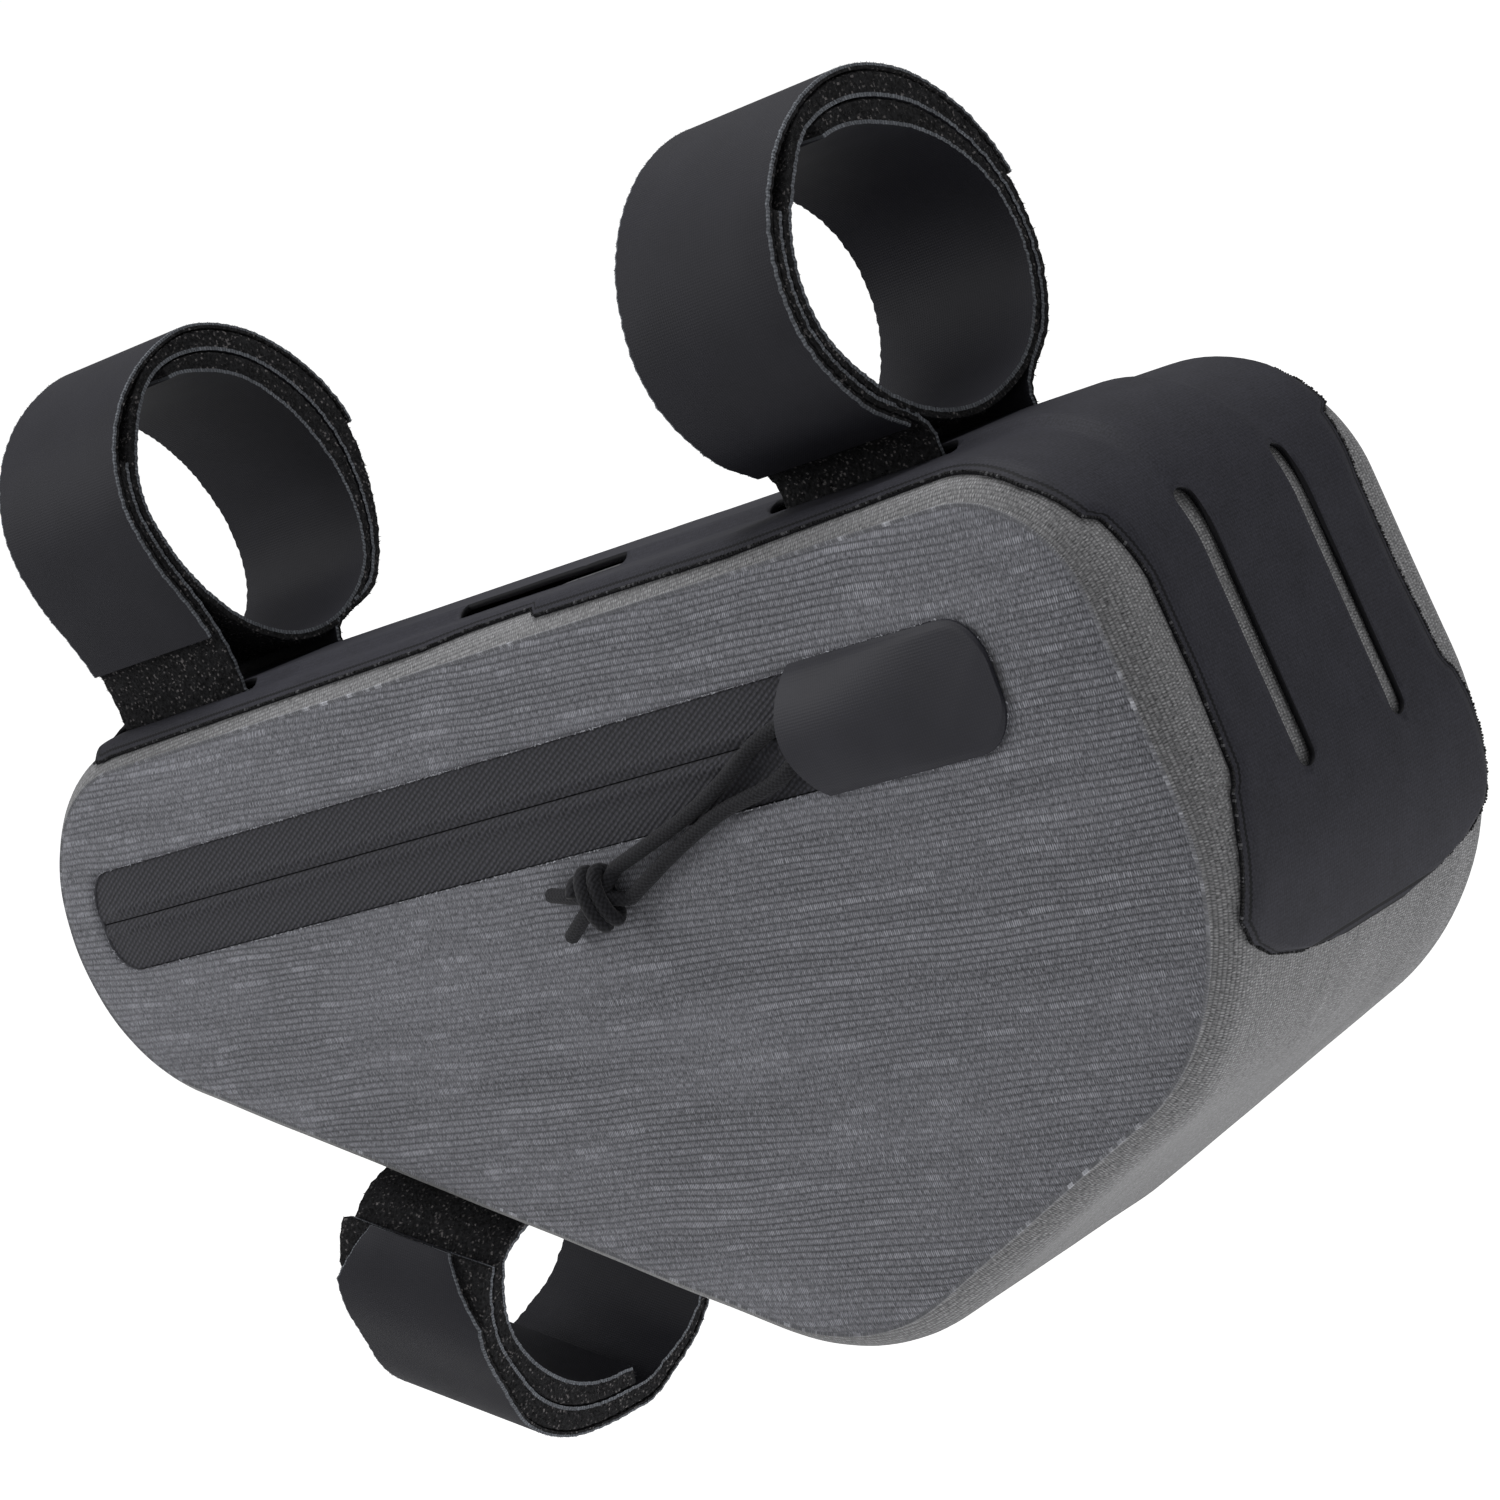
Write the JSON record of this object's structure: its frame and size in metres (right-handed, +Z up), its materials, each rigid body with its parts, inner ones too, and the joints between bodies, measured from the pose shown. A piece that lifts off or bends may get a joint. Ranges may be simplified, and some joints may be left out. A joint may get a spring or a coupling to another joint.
{
  "type": "bicycle frame bag",
  "caption": "Wedge-shaped bag that hangs inside a bicycle frame, with a side zip, a knotted cord pull and wide hook-and-loop straps above and below.",
  "frame": {"origin": "outer face of the black top panel's flat middle, midway between the two top straps, where the bag hangs from the top tube", "axes": "+X along the bag towards its wide rear end, -Y towards the side with the zip, +Z up"},
  "size_m": [0.3185, 0.0941, 0.2439],
  "materials": {
    "melange_cloth": "ribbed grey melange, welded",
    "black_laminate": "matte rubberised laminate",
    "zip_twill": "black twill tape with a coil under it",
    "garage_film": "smooth satin film",
    "slider_enamel": "dark enamel",
    "strap_pile": "napped loop pile on a smooth backing",
    "hook_tab": "smooth coated tab with hooks inside",
    "cord_braid": "braided cord"
  },
  "bodies": {
    "root": {"bag_shell": "melange_cloth", "reinforcement_panel": "black_laminate", "zip_tape_upper": "zip_twill", "zip_tape_lower": "zip_twill", "zip_garage": "garage_film", "zip_slider": "slider_enamel", "zip_pull_strand_upper": "cord_braid", "zip_pull_strand_lower": "cord_braid", "zip_pull_knot": "cord_braid", "front_top_strap": "strap_pile", "rear_top_strap": "strap_pile", "bottom_strap": "strap_pile", "front_top_tab": "hook_tab", "rear_top_tab": "hook_tab", "bottom_tab": "hook_tab"}
  },
  "joints": []
}
